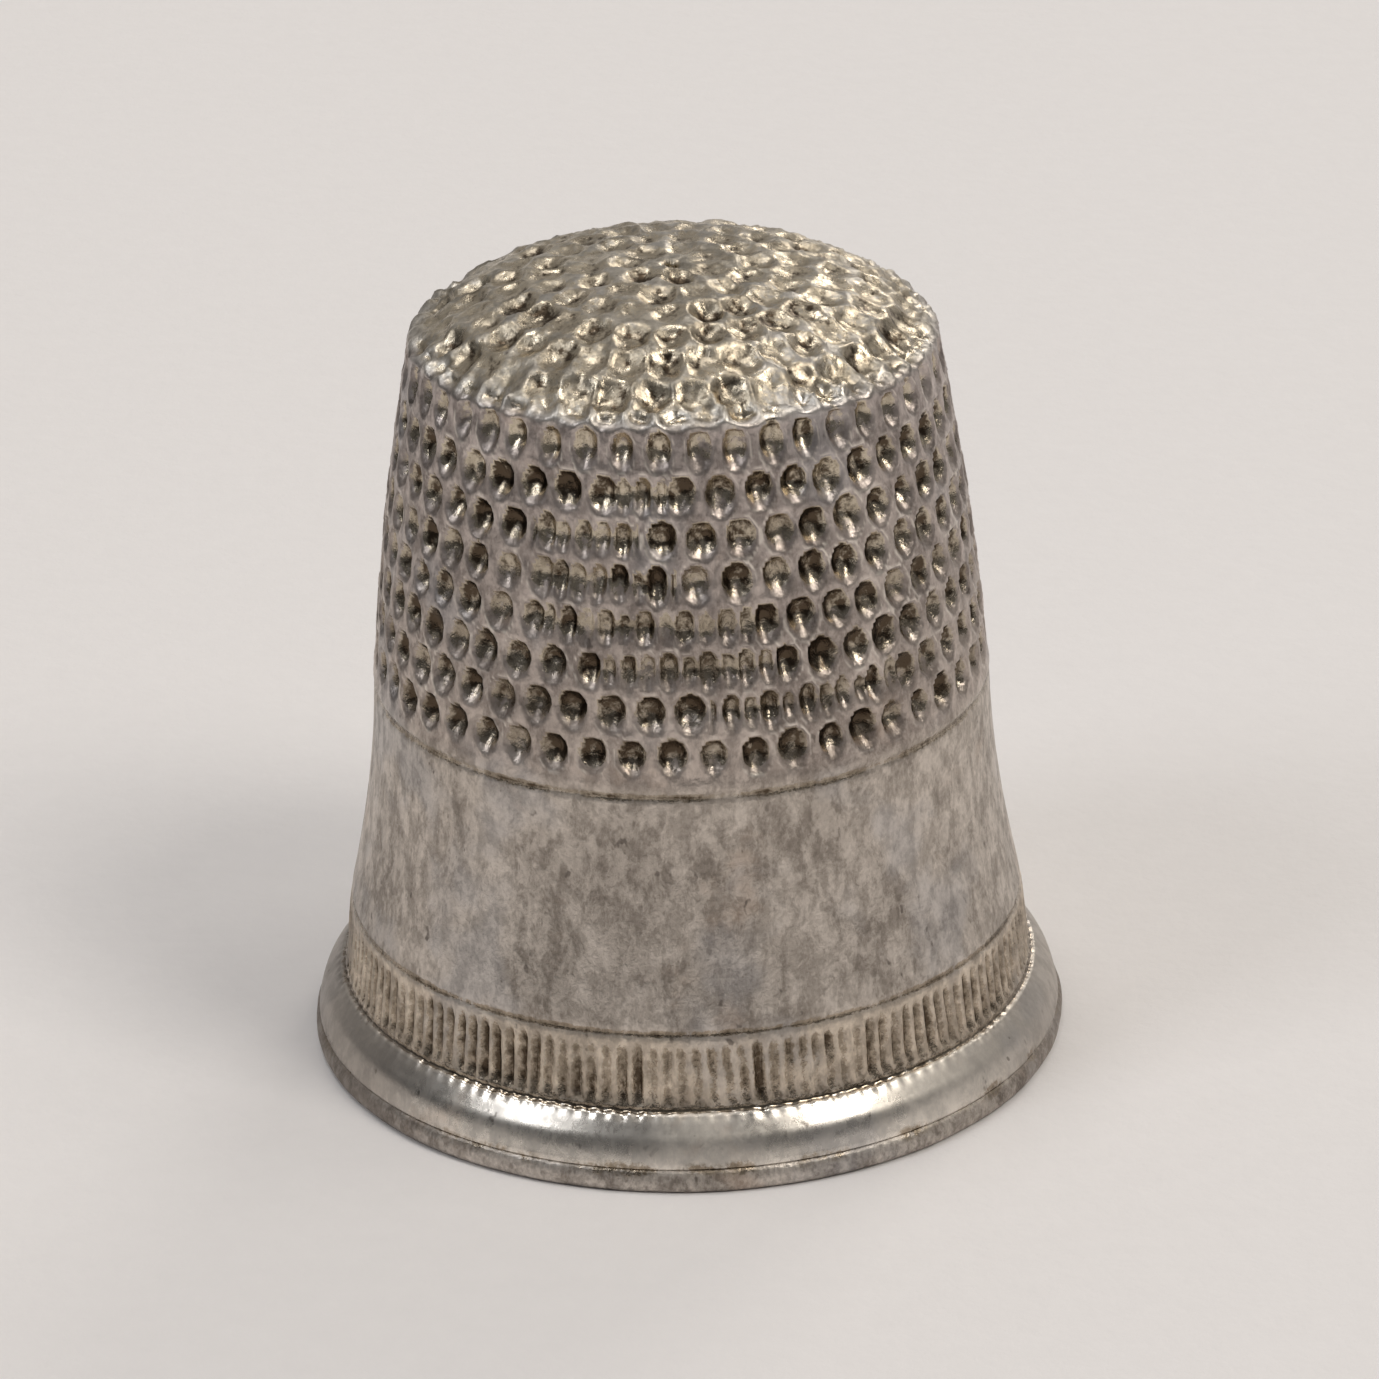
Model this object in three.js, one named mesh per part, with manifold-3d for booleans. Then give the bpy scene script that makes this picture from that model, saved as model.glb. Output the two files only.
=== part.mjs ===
// Sewing thimble in drawn silver, in millimetres, +Z up, standing on its open rim.
// Origin: the middle of the rim's underside. The part is two pieces: the drawn shell, and the ring that
// finishes its mouth. Everything is a surface of revolution about Z, with needle pits and reeds worked in.

import * as THREE from "three";
import { mergeVertices } from "three/addons/utils/BufferGeometryUtils.js";
import Module from "manifold-3d";

const wasm = await Module();
wasm.setup();

// ---- driving dimensions -------------------------------------------------------------------------------

const HEIGHT = 19.2;
const MOUTH_RADIUS = 7.75;

const RING_HEIGHT = 0.58;
const RING_RADIUS = 9.0;
const RING_NECK_RADIUS = 8.86;
const RING_FOOT = { inner: 7.95, outer: 8.84 };
const RING_SIDE = { low: 0.14, high: 0.4 };

const FLANGE = { foot: 8.9, bend: 8.69, bendHeight: 1.25, shoulder: 8.33, top: 1.72 };

const REED_COUNT = 146;
const REED_DEPTH = 0.14;
const REED_FOOT_RADIUS = 8.22;
const REED_HEAD_RADIUS = 8.03;
const REED_TOP = 3.45;

const GROOVE_DEPTH = 0.1;
const GROOVE_WIDTH = 0.2;
const BAND_FOOT_RADIUS = 8.0;
const BAND_TOP_RADIUS = 7.23;
const BAND_TOP = 9.03;
const BAND_FLARE_POWER = 1.7;

const KNURL_FOOT = 9.57;
const KNURL_FOOT_RADIUS = 7.18;
const KNURL_TOP_RADIUS = 6.05;
const KNURL_BULGE = 0.1;
const PIT_ROWS = 8;
const PITS_PER_ROW = 48;
const PIT_PITCH = 0.994;
const PIT_DEPTH = 0.2;

const CAP_EDGE = 17.86;
const CAP_EDGE_RADIUS = 5.7;
const CAP_ROUNDNESS = 0.36;
const CAP_PITS = [32, 32, 24, 24, 16, 8];
const CAP_PIT_PITCH = 0.88;
const CAP_PIT_DEPTH = 0.14;

const WALL = 0.45;
const CAVITY_BELOW = 1;

const SEGMENTS = 2 * PITS_PER_ROW;
const CAVITY_SEGMENTS = 48;
const BAND_STEPS = 4;

const KNURL_TOP = KNURL_FOOT + PIT_ROWS * PIT_PITCH;
const GROOVE_2_TOP = REED_TOP + GROOVE_WIDTH;

// ---- finishes -----------------------------------------------------------------------------------------

const wornSilver = new THREE.MeshStandardMaterial({ color: 0x9a9389, roughness: 0.42, metalness: 1 });
const polishedSilver = new THREE.MeshStandardMaterial({ color: 0xa9a198, roughness: 0.34, metalness: 1 });

// ---- solids -------------------------------------------------------------------------------------------

// A surface of revolution about Z from [radius, height] points that run from the bottom up.
function revolve(points, segments) {
  const profile = points.map(([radius, height]) => new THREE.Vector2(radius, height));
  const geometry = new THREE.LatheGeometry(profile, segments);
  geometry.rotateX(Math.PI / 2);
  geometry.deleteAttribute("normal");
  geometry.deleteAttribute("uv");
  return mergeVertices(geometry);
}

// The closed solid inside a welded geometry. Triangles that collapse on the axis are left out.
function solid(geometry) {
  const corners = geometry.index.array;
  const kept = [];
  for (let i = 0; i < corners.length; i += 3) {
    const [a, b, c] = corners.subarray(i, i + 3);
    if (a !== b && b !== c && c !== a) {
      kept.push(a, b, c);
    }
  }
  const mesh = new wasm.Mesh({
    numProp: 3,
    vertProperties: new Float32Array(geometry.attributes.position.array),
    triVerts: new Uint32Array(kept),
  });
  return new wasm.Manifold(mesh);
}

function toGeometry(manifold) {
  const { vertProperties, triVerts } = manifold.getMesh();
  const geometry = new THREE.BufferGeometry();
  geometry.setAttribute("position", new THREE.BufferAttribute(vertProperties, 3));
  geometry.setIndex(new THREE.BufferAttribute(triVerts, 1));
  geometry.computeVertexNormals();
  return geometry;
}

function piece(name, manifold, material) {
  const mesh = new THREE.Mesh(toGeometry(manifold), material);
  mesh.name = name;
  return mesh;
}

// Moves each vertex by move(vertex, angle, radius), which changes the vertex it is given.
function shapeVertices(geometry, move) {
  const position = geometry.attributes.position;
  const vertex = new THREE.Vector3();
  for (let i = 0; i < position.count; i += 1) {
    vertex.fromBufferAttribute(position, i);
    move(vertex, Math.atan2(vertex.y, vertex.x), Math.hypot(vertex.x, vertex.y));
    position.setXYZ(i, vertex.x, vertex.y, vertex.z);
  }
  return geometry;
}

function pushIn(vertex, radius, depth) {
  const scale = (radius - depth) / radius;
  vertex.x *= scale;
  vertex.y *= scale;
}

const near = (a, b) => Math.abs(a - b) < 1e-3;

// 1 at the middle of each of count equal sectors, falling to 0 halfway to the next.
const wave = (angle, count) => 0.5 + 0.5 * Math.cos(count * angle);

// ---- outside of the shell, from the bottom up ---------------------------------------------------------

function flange() {
  return revolve(
    [
      [0, RING_HEIGHT],
      [FLANGE.foot, RING_HEIGHT],
      [FLANGE.bend, FLANGE.bendHeight],
      [FLANGE.shoulder, FLANGE.top],
      [0, FLANGE.top],
    ],
    SEGMENTS,
  );
}

// The reeds are upright ribs: every second vertex of the band is pushed in.
function reededBand() {
  const band = revolve(
    [
      [0, FLANGE.top],
      [REED_FOOT_RADIUS, FLANGE.top],
      [REED_HEAD_RADIUS, REED_TOP],
      [0, REED_TOP],
    ],
    2 * REED_COUNT,
  );
  return shapeVertices(band, (vertex, angle, radius) => {
    if (radius > 0 && wave(angle, REED_COUNT) > 0.5) {
      pushIn(vertex, radius, REED_DEPTH);
    }
  });
}

// The plain band flares towards its foot.
function bandRadius(height) {
  const down = (BAND_TOP - height) / (BAND_TOP - GROOVE_2_TOP);
  return BAND_TOP_RADIUS + (BAND_FOOT_RADIUS - BAND_TOP_RADIUS) * down ** BAND_FLARE_POWER;
}

function bandPoints() {
  const points = [];
  for (let i = 0; i <= BAND_STEPS; i += 1) {
    const height = GROOVE_2_TOP + ((BAND_TOP - GROOVE_2_TOP) * i) / BAND_STEPS;
    points.push([bandRadius(height), height]);
  }
  return points;
}

// The knurled wall tapers upwards, a little fuller at half its height.
function wallRadius(height) {
  const up = (height - KNURL_FOOT) / (KNURL_TOP - KNURL_FOOT);
  const straight = KNURL_FOOT_RADIUS + (KNURL_TOP_RADIUS - KNURL_FOOT_RADIUS) * up;
  return straight + KNURL_BULGE * 4 * up * (1 - up);
}

// A ring of vertices at the foot of each row of pits and at its middle.
function wallPoints() {
  const points = [];
  for (let i = 0; i <= 2 * PIT_ROWS; i += 1) {
    const height = KNURL_FOOT + (PIT_PITCH * i) / 2;
    points.push([wallRadius(height), height]);
  }
  return points;
}

// The cap is domed. It falls slowly near its centre and faster towards its edge.
function capHeight(radius) {
  const out = (radius / CAP_EDGE_RADIUS) ** 2;
  const fall = CAP_ROUNDNESS * out + (1 - CAP_ROUNDNESS) * out ** 2;
  return HEIGHT - (HEIGHT - CAP_EDGE) * fall;
}

// Ring i of the cap's pits, counted from the outside, has its middle at capPitRadius(i).
const capPitRadius = (i) => (CAP_PITS.length - i) * CAP_PIT_PITCH;

// The cap's edge, then two rings of vertices for each ring of pits, at its middle and at its inner edge.
function capPoints() {
  const points = [[CAP_EDGE_RADIUS, CAP_EDGE]];
  for (let i = 0; i < CAP_PITS.length; i += 1) {
    const middle = capPitRadius(i);
    const innerEdge = middle - CAP_PIT_PITCH / 2;
    points.push([middle, capHeight(middle)], [innerEdge, capHeight(innerEdge)]);
  }
  return [...points, [0, HEIGHT]];
}

function body() {
  const upper = revolve(
    [
      [0, REED_TOP],
      [REED_HEAD_RADIUS - REED_DEPTH - GROOVE_DEPTH, REED_TOP],
      ...bandPoints(),
      [BAND_TOP_RADIUS - GROOVE_DEPTH, BAND_TOP + GROOVE_WIDTH / 2],
      [BAND_TOP_RADIUS, BAND_TOP + GROOVE_WIDTH],
      ...wallPoints(),
      ...capPoints(),
    ],
    SEGMENTS,
  );
  return shapeVertices(upper, (vertex, angle, radius) => {
    for (let row = 0; row < PIT_ROWS; row += 1) {
      const middle = KNURL_FOOT + (row + 0.5) * PIT_PITCH;
      const turned = angle + (row % 2) * (Math.PI / PITS_PER_ROW);
      if (near(vertex.z, middle) && wave(turned, PITS_PER_ROW) > 0.5) {
        pushIn(vertex, radius, PIT_DEPTH);
      }
    }
    for (let i = 0; i < CAP_PITS.length; i += 1) {
      if (near(radius, capPitRadius(i)) && vertex.z > CAP_EDGE) {
        vertex.z -= CAP_PIT_DEPTH * wave(angle, CAP_PITS[i]);
      }
    }
    if (near(vertex.z, HEIGHT)) {
      vertex.z -= CAP_PIT_DEPTH;
    }
  });
}

// ---- the finger cavity --------------------------------------------------------------------------------

// It runs one wall inside the bottoms of the pits and starts below the mouth, so that it cuts right through.
function cavity() {
  const bandMiddle = (GROOVE_2_TOP + BAND_TOP) / 2;
  const wallTop = KNURL_TOP - PIT_PITCH;
  const capWall = WALL + CAP_PIT_DEPTH;
  const crownRadius = capPitRadius(1);
  const crownEdge = CAP_EDGE_RADIUS - WALL;
  return revolve(
    [
      [0, -CAVITY_BELOW],
      [MOUTH_RADIUS, -CAVITY_BELOW],
      [MOUTH_RADIUS, FLANGE.top],
      [bandRadius(GROOVE_2_TOP) - WALL, GROOVE_2_TOP],
      [bandRadius(bandMiddle) - WALL, bandMiddle],
      [KNURL_FOOT_RADIUS - PIT_DEPTH - WALL, KNURL_FOOT],
      [wallRadius(wallTop) - PIT_DEPTH - WALL, wallTop],
      [crownEdge, CAP_EDGE - capWall],
      [crownRadius, capHeight(crownRadius) - capWall],
      [crownRadius / 2, capHeight(crownRadius / 2) - capWall],
      [0, HEIGHT - capWall],
    ],
    CAVITY_SEGMENTS,
  );
}

function shell() {
  const outside = solid(flange()).add(solid(reededBand())).add(solid(body()));
  return outside.subtract(solid(cavity()));
}

// ---- the ring under the flange ------------------------------------------------------------------------

function ring() {
  const profile = [
    [MOUTH_RADIUS, RING_HEIGHT],
    [MOUTH_RADIUS, RING_SIDE.low],
    [RING_FOOT.inner, 0],
    [RING_FOOT.outer, 0],
    [RING_RADIUS, RING_SIDE.low],
    [RING_RADIUS, RING_SIDE.high],
    [RING_NECK_RADIUS, RING_HEIGHT],
    [MOUTH_RADIUS, RING_HEIGHT],
  ];
  return solid(revolve(profile, SEGMENTS));
}

const thimble = new THREE.Group();
thimble.add(piece("thimble_shell", shell(), wornSilver));
thimble.add(piece("rim_ring", ring(), polishedSilver));

export default thimble;
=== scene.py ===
"""A worn silver sewing thimble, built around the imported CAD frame.

Two pieces stand for the two CAD nodes: the drawn shell and the ring that finishes its mouth. Each is a
skin of rings of points about Z, with its needle pits, reeds, grooves and wear pushed into the points, so
that all of the visible shape is in the mesh. Lengths are in millimetres until a mesh is made, which is in
metres. Angles run around Z in degrees from the front, -Y, towards +X.
"""

import math

import bpy
import numpy as np
from mathutils import Matrix, Vector


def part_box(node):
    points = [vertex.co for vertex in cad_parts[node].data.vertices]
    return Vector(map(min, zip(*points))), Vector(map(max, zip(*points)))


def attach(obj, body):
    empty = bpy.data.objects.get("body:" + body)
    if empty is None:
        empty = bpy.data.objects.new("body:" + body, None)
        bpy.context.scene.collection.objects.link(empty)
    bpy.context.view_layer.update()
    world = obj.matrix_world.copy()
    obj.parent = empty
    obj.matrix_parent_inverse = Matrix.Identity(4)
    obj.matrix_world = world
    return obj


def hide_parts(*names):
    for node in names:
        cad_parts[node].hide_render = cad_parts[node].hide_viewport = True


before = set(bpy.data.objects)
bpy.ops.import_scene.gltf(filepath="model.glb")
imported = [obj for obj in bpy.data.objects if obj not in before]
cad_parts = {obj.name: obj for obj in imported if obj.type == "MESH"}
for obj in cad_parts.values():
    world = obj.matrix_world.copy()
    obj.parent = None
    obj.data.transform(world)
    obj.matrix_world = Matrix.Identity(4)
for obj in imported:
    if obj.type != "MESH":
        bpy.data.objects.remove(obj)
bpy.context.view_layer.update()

MM = 0.001
TAU = 2 * math.pi
TINY = 1e-6


def box_mm(node):
    return [np.array(corner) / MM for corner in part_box(node)]


# ---- sizes --------------------------------------------------------------------------------------------

SHELL_HIGH = box_mm("thimble_shell")[1]
RING_HIGH = box_mm("rim_ring")[1]
HEIGHT = SHELL_HIGH[2]
SEAM = RING_HIGH[2]
RIM_RADIUS = RING_HIGH[0]
MOUTH_RADIUS = 7.75
WALL = 0.45

FLANGE_TOP, FLANGE_SHOULDER = 1.72, 8.33
FLANGE_BEND, FLANGE_PULL = (8.69, 1.25), (8.80, 1.08)
FLANGE_FOOT, FLANGE_FOOT_HEIGHT = 8.90, 0.04
GUTTER_RADIUS, GUTTER_FLOOR, GUTTER_TOP = 8.24, 1.71, 1.84
GUTTER_SAG = 0.04
BEAD_MIDDLE, BEAD_FOOT = 0.24, 8.82

REED_COUNT = 146
REED_DEPTH = 0.15
REED_FOOT, REED_HEAD = 8.2, 8.03
REED_TOP = 3.4

GROOVE_2, GROOVE_1 = 3.56, 9.13
GROOVE_DEPTH, GROOVE_HALF = 0.055, 0.095
GROOVE_REACH = 2 * GROOVE_HALF
BAND_FOOT, BAND_HEAD = 8.0, 7.23
BAND_FLARE_POWER = 1.7

KNURL_FOOT, KNURL_TOP = 9.57, 17.52
KNURL_FOOT_RADIUS, KNURL_TOP_RADIUS = 7.18, 6.05
KNURL_BULGE = 0.1
CAP_EDGE, CAP_EDGE_RADIUS = 17.86, 5.7
CAP_ROUNDNESS = 0.36

# Each row of pits, from the bottom up: how many, and the angle of one of them.
PIT_ROWS = [
    (49, -16.5),
    (49, -20.3),
    (49, -17.0),
    (48, -14.0),
    (47, -11.7),
    (46, -18.8),
    (46, -22.5),
    (46, -19.0),
]
ROW_PITCH = (KNURL_TOP - KNURL_FOOT) / len(PIT_ROWS)
PIT_HALF_WIDTH, PIT_HALF_HEIGHT, PIT_DEPTH = 0.365, 0.455, 0.27
PIT_SHIFT, PIT_UNEVEN = 0.02, 0.12
TOP_ROW_WIDTH, TOP_ROW_DEPTH, TOP_ROW_TARNISH_SHADE = 0.8, 0.85, 0.65

# Where the knurling wheel ran over its own start: row, and the first and last angle. The second pits fall
# between the first, which they squeeze narrower.
SECOND_STRIKES = [(1, 5, 45), (2, -16, 18), (3, -26, 15), (4, -28, 0), (5, -30, -8), (6, -12, -2)]
SECOND_DEPTH, SQUEEZED_DEPTH = 0.8, 0.85
SECOND_WIDTH, SQUEEZED_WIDTH = 0.56, 0.68
SECOND_HEIGHT = 0.9
SECOND_UNEVEN = 0.2

CAP_RINGS = 6
CAP_RING_START, CAP_RING_PITCH = 0.1, 0.93
CAP_PIT_SPACING = 0.87
CAP_PIT_HALF_WIDTH, CAP_PIT_HALF_HEIGHT, CAP_PIT_DEPTH = 0.56, 0.6, 0.26
CAP_SHIFT, CAP_UNEVEN = 0.035, 0.2

# The cap is lifted by this much, out to its corner, to make up for what the overlapping pits take away.
CAP_LIFT, CAP_LIFT_REACH, CAP_LIFT_POWER = 0.1, 5.8, 10

# The small pits that crinkle the corner of the cap; the place is measured along the cap from its middle.
EDGE_PITS, EDGE_PLACE = 50, 6.16
EDGE_PIT_HALF_WIDTH, EDGE_PIT_HALF_HEIGHT, EDGE_PIT_DEPTH = 0.42, 0.4, 0.24
EDGE_SHIFT, EDGE_UNEVEN = 0.05, 0.25

COLUMNS = 4 * REED_COUNT
RING_COLUMNS = 3 * REED_COUNT
INSIDE_COLUMNS = REED_COUNT

rng = np.random.default_rng(7)


# ---- profile curves -----------------------------------------------------------------------------------


def band_radius(height):
    down = (GROOVE_1 - height) / (GROOVE_1 - GROOVE_2)
    return BAND_HEAD + (BAND_FOOT - BAND_HEAD) * np.clip(down, 0, 1) ** BAND_FLARE_POWER


def wall_radius(height):
    up = (height - KNURL_FOOT) / (KNURL_TOP - KNURL_FOOT)
    return KNURL_FOOT_RADIUS + (KNURL_TOP_RADIUS - KNURL_FOOT_RADIUS) * up + 4 * KNURL_BULGE * up * (1 - up)


def cap_height(radius):
    out = (radius / CAP_EDGE_RADIUS) ** 2
    return HEIGHT - (HEIGHT - CAP_EDGE) * (CAP_ROUNDNESS * out + (1 - CAP_ROUNDNESS) * out**2)


def bezier(start, control, end, steps):
    t = np.linspace(0, 1, steps)[:, None]
    return (1 - t) ** 2 * np.array(start) + 2 * t * (1 - t) * np.array(control) + t**2 * np.array(end)


def distances(points):
    """How far along a polyline each of its points is."""
    return np.concatenate([[0], np.cumsum(np.hypot(*np.diff(points, axis=0).T))])


def resample(points, spacing):
    """Points at even spacing along a polyline of [radius, height], with both its ends."""
    along = distances(points)
    steps = max(1, round(along[-1] / spacing))
    at = np.linspace(0, along[-1], steps + 1)
    return np.stack([np.interp(at, along, points[:, k]) for k in (0, 1)], axis=1)


def curve(function, start, end, steps=80):
    """[radius, height] points of a radius that is a function of height."""
    heights = np.linspace(start, end, steps)
    return np.stack([function(heights), heights], axis=1)


# ---- random fields ------------------------------------------------------------------------------------


def ripple(angle, height, waves):
    """A smooth random field that closes around the axis, between about -1 and 1."""
    total = 0
    for turns, rise, phase in waves:
        total = total + np.cos(np.radians(turns * angle) + rise * height + phase)
    return total / math.sqrt(len(waves))


def random_waves(count, turns, rise):
    return [(rng.integers(1, turns), rng.uniform(-rise, rise), rng.uniform(0, TAU)) for _ in range(count)]


LATTICE_SIZE = 48
LATTICE = rng.uniform(-1, 1, (LATTICE_SIZE, LATTICE_SIZE, LATTICE_SIZE))


def grain(angle, height, radius, cell):
    """Smooth random values between -1 and 1, on a lattice of cells of the given size."""
    turn = np.radians(angle)
    place = np.stack([radius * np.sin(turn), -radius * np.cos(turn), height + 0 * angle]) / cell
    low = np.floor(place).astype(int)
    share = place - low
    share = share * share * (3 - 2 * share)
    total = 0
    for corner in np.ndindex(2, 2, 2):
        weight = 1
        for axis in range(3):
            weight = weight * (share[axis] if corner[axis] else 1 - share[axis])
        node = tuple((low[axis] + corner[axis]) % LATTICE_SIZE for axis in range(3))
        total = total + weight * LATTICE[node]
    return total


def hump(place, middle, width):
    """1 at the middle, falling smoothly to nothing about two widths away."""
    return np.exp(-(((place - middle) / width) ** 2))


def wrapped(angle):
    return (angle + 180) % 360 - 180


# ---- pits: how deep and how hollow each point is ------------------------------------------------------

# Distances in a pit are 0 at its middle and 1 at its edge, and its depth is about 1 at its middle.
BOWL_POWER, CAP_BOWL_POWER = 0.8, 1.0
PIT_LEAN, CAP_PIT_LEAN = 0.2, 0.12
PIT_REACH = 1.3

# The raised lip just outside a pit's edge, which ends where another pit has cut this deep.
LIP_HEIGHT, LIP_PLACE, LIP_WIDTH = 0.02, 1.12, 0.1
LIP_END_DEPTH = 0.25

# A pit is darkened by tarnish and by painted shade, which lies high in the pit, around a lighter core that
# is a painted reflection. Each pit has its own share of both.
TARNISH_SHADE_MEAN, TARNISH_SHADE_SPREAD, TARNISH_SHADE_LEAST, TARNISH_SHADE_MOST = 0.88, 0.18, 0.4, 1.2
SHADE_RISE, TARNISH_SHADE_FULL, TARNISH_SHADE_OF_DEPTH = 0.28, 1.3, 0.45
LIT_CORE_LEAST, LIT_CORE_MOST = 0.2, 0.8
CORE_DROP, CORE_SIZE, CORE_FULL = 0.3, 0.42, 1.4

# How rough the metal is: on the land between the pits, and how much more so in them.
FINE_CELL, COARSE_CELL, CAP_COARSE_CELL = 0.17, 0.4, 0.36
LAND_COARSE, PIT_COARSE = 0.02, 0.03
LAND_FINE, PIT_FINE = 0.015, 0.036
CAP_COARSE, CAP_FINE, CORNER_FINE = 0.05, 0.034, 0.075
CORNER_START = 5.7

# How much the grain breaks up the tarnish and painted shade, and how strong the painted highlight on the
# lips is, in patches.
TARNISH_SHADE_GRAIN, CAP_TARNISH_SHADE_GRAIN = 0.35, 0.5
LIP_HIGHLIGHT_STRENGTH, LIP_PATCH_CELL = 0.7, 0.8
LIP_EVEN, LIP_PATCHES = 0.4, 0.4
CAP_HOLLOW_OF_DEPTH, CAP_HOLLOW_OF_TARNISH_SHADE, EDGE_HOLLOW = 0.38, 0.35, 0.4


class PitRing:
    """Pits spaced evenly around the axis, each a little off in place, size and depth."""

    def __init__(self, count, phase, place, shift=PIT_SHIFT, uneven=PIT_UNEVEN):
        self.count, self.phase, self.place = count, phase, place
        self.pitch = 360 / count
        self.tarnish_and_shade = np.clip(rng.normal(TARNISH_SHADE_MEAN, TARNISH_SHADE_SPREAD, count), TARNISH_SHADE_LEAST, TARNISH_SHADE_MOST)
        self.core = rng.uniform(LIT_CORE_LEAST, LIT_CORE_MOST, count)
        self.turn = rng.normal(0, shift, count)
        self.rise = rng.normal(0, shift, count)
        self.depth = 1 + rng.normal(0, uneven, count)
        self.size = 1 + rng.normal(0, uneven / 3, count)

    def relief(self, angle, up, radius, half_width, half_height, lean=PIT_LEAN, power=BOWL_POWER):
        """How deep each point is, how much tarnish and painted shade darken it, and how near a lip it is.

        lean makes a pit steeper on its upper side, and a lower power makes it flatter in the middle.
        """
        nearest = np.rint((angle - self.phase) / self.pitch)
        which = nearest.astype(int) % self.count
        across = np.radians(wrapped(angle - self.phase - nearest * self.pitch)) * radius - self.turn[which]
        across = across / (half_width * self.size[which])
        up = (up - self.place - self.rise[which]) / (half_height * self.size[which])
        up = np.clip(up, -PIT_REACH, PIT_REACH)
        leaning = np.hypot(across, up + lean * (up**2 - 1))
        deep = self.depth[which] * np.clip(1 - leaning**2, 0, None) ** power
        # A lighter core low in the pit, where the darkening is taken away: a painted reflection.
        core = np.clip(CORE_FULL - (np.hypot(across, up + CORE_DROP) / CORE_SIZE) ** 2, 0, 1)
        # The darkening is centred above the pit's middle: tarnish, with painted shade on the pit's upper
        # side.
        high = np.clip(TARNISH_SHADE_FULL - np.hypot(across, up - SHADE_RISE) ** 3, 0, 1)
        far = np.hypot(across, up)
        tarnish_and_shade = self.tarnish_and_shade[which] * high * (1 - self.core[which] * core) * (far < 1)
        return deep, np.maximum(tarnish_and_shade, TARNISH_SHADE_OF_DEPTH * deep), hump(far, LIP_PLACE, LIP_WIDTH)


def row_height(row):
    return KNURL_FOOT + (row + 0.5) * ROW_PITCH


WALL_RINGS = [PitRing(count, phase, row_height(row)) for row, (count, phase) in enumerate(PIT_ROWS)]
WALL_RINGS[-1].tarnish_and_shade *= TOP_ROW_TARNISH_SHADE
WALL_RINGS[-1].depth *= TOP_ROW_DEPTH


def second_ring(row):
    count, phase = PIT_ROWS[row]
    return PitRing(count, phase + 180 / count, row_height(row), uneven=SECOND_UNEVEN)


SECOND_RINGS = {row: (second_ring(row), first, last) for row, first, last in SECOND_STRIKES}


def cap_rings():
    """A pit in the middle of the cap, and rings of pits around it."""
    rings = [PitRing(1, 0, 0)]
    for i in range(1, CAP_RINGS + 1):
        along = CAP_RING_PITCH * i + CAP_RING_START
        radius = np.interp(along, CAP_ALONG, CAP_CURVE[:, 0])
        count = round(TAU * radius / CAP_PIT_SPACING)
        rings.append(PitRing(count, rng.uniform(0, 360), -along, shift=CAP_SHIFT, uneven=CAP_UNEVEN))
    return rings


def row_relief(row, angle, height, radius):
    """One row of wall pits, with the second strikes where it has them."""
    ring = WALL_RINGS[row]
    width = PIT_HALF_WIDTH * (TOP_ROW_WIDTH if row == len(WALL_RINGS) - 1 else 1)
    pits = ring.relief(angle, height, radius, width, PIT_HALF_HEIGHT)
    if row not in SECOND_RINGS:
        return pits
    second, first, last = SECOND_RINGS[row]
    struck = (angle > first) & (angle < last)
    squeezed = ring.relief(angle, height, radius, width * SQUEEZED_WIDTH, PIT_HALF_HEIGHT)
    between = second.relief(angle, height, radius, width * SECOND_WIDTH, PIT_HALF_HEIGHT * SECOND_HEIGHT)
    both = [SQUEEZED_DEPTH * np.maximum(a, SECOND_DEPTH * b) for a, b in zip(squeezed, between)]
    return [np.where(struck, new, old) for new, old in zip(both, pits)]


def wall_relief(angle, height, radius):
    """Depth and hollowness of the pits on the wall at one height: tarnish and painted shade in them, less a
    painted highlight on their lips.
    """
    depth = np.zeros_like(angle)
    hollow = np.zeros_like(angle)
    ridge = np.zeros_like(angle)
    for row, ring in enumerate(WALL_RINGS):
        if abs(height - ring.place) > ROW_PITCH:
            continue
        deep, tarnish_and_shade, lip = row_relief(row, angle, height, radius)
        depth = np.maximum(depth, deep)
        hollow = np.maximum(hollow, tarnish_and_shade)
        ridge = np.maximum(ridge, lip)
    ridge *= np.clip(1 - depth / LIP_END_DEPTH, 0, 1)
    fine = grain(angle, height, radius, FINE_CELL)
    coarse = grain(angle, height, radius, COARSE_CELL)
    rough = (LAND_COARSE + PIT_COARSE * depth) * coarse + (LAND_FINE + PIT_FINE * depth) * fine
    # A painted highlight on the lips, in patches, is taken from the hollowness.
    bright = LIP_EVEN + LIP_PATCHES * grain(angle, height, radius, LIP_PATCH_CELL)
    dark = hollow * (1 + TARNISH_SHADE_GRAIN * fine) - LIP_HIGHLIGHT_STRENGTH * ridge * bright
    return PIT_DEPTH * depth - LIP_HEIGHT * ridge + rough, dark


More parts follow.
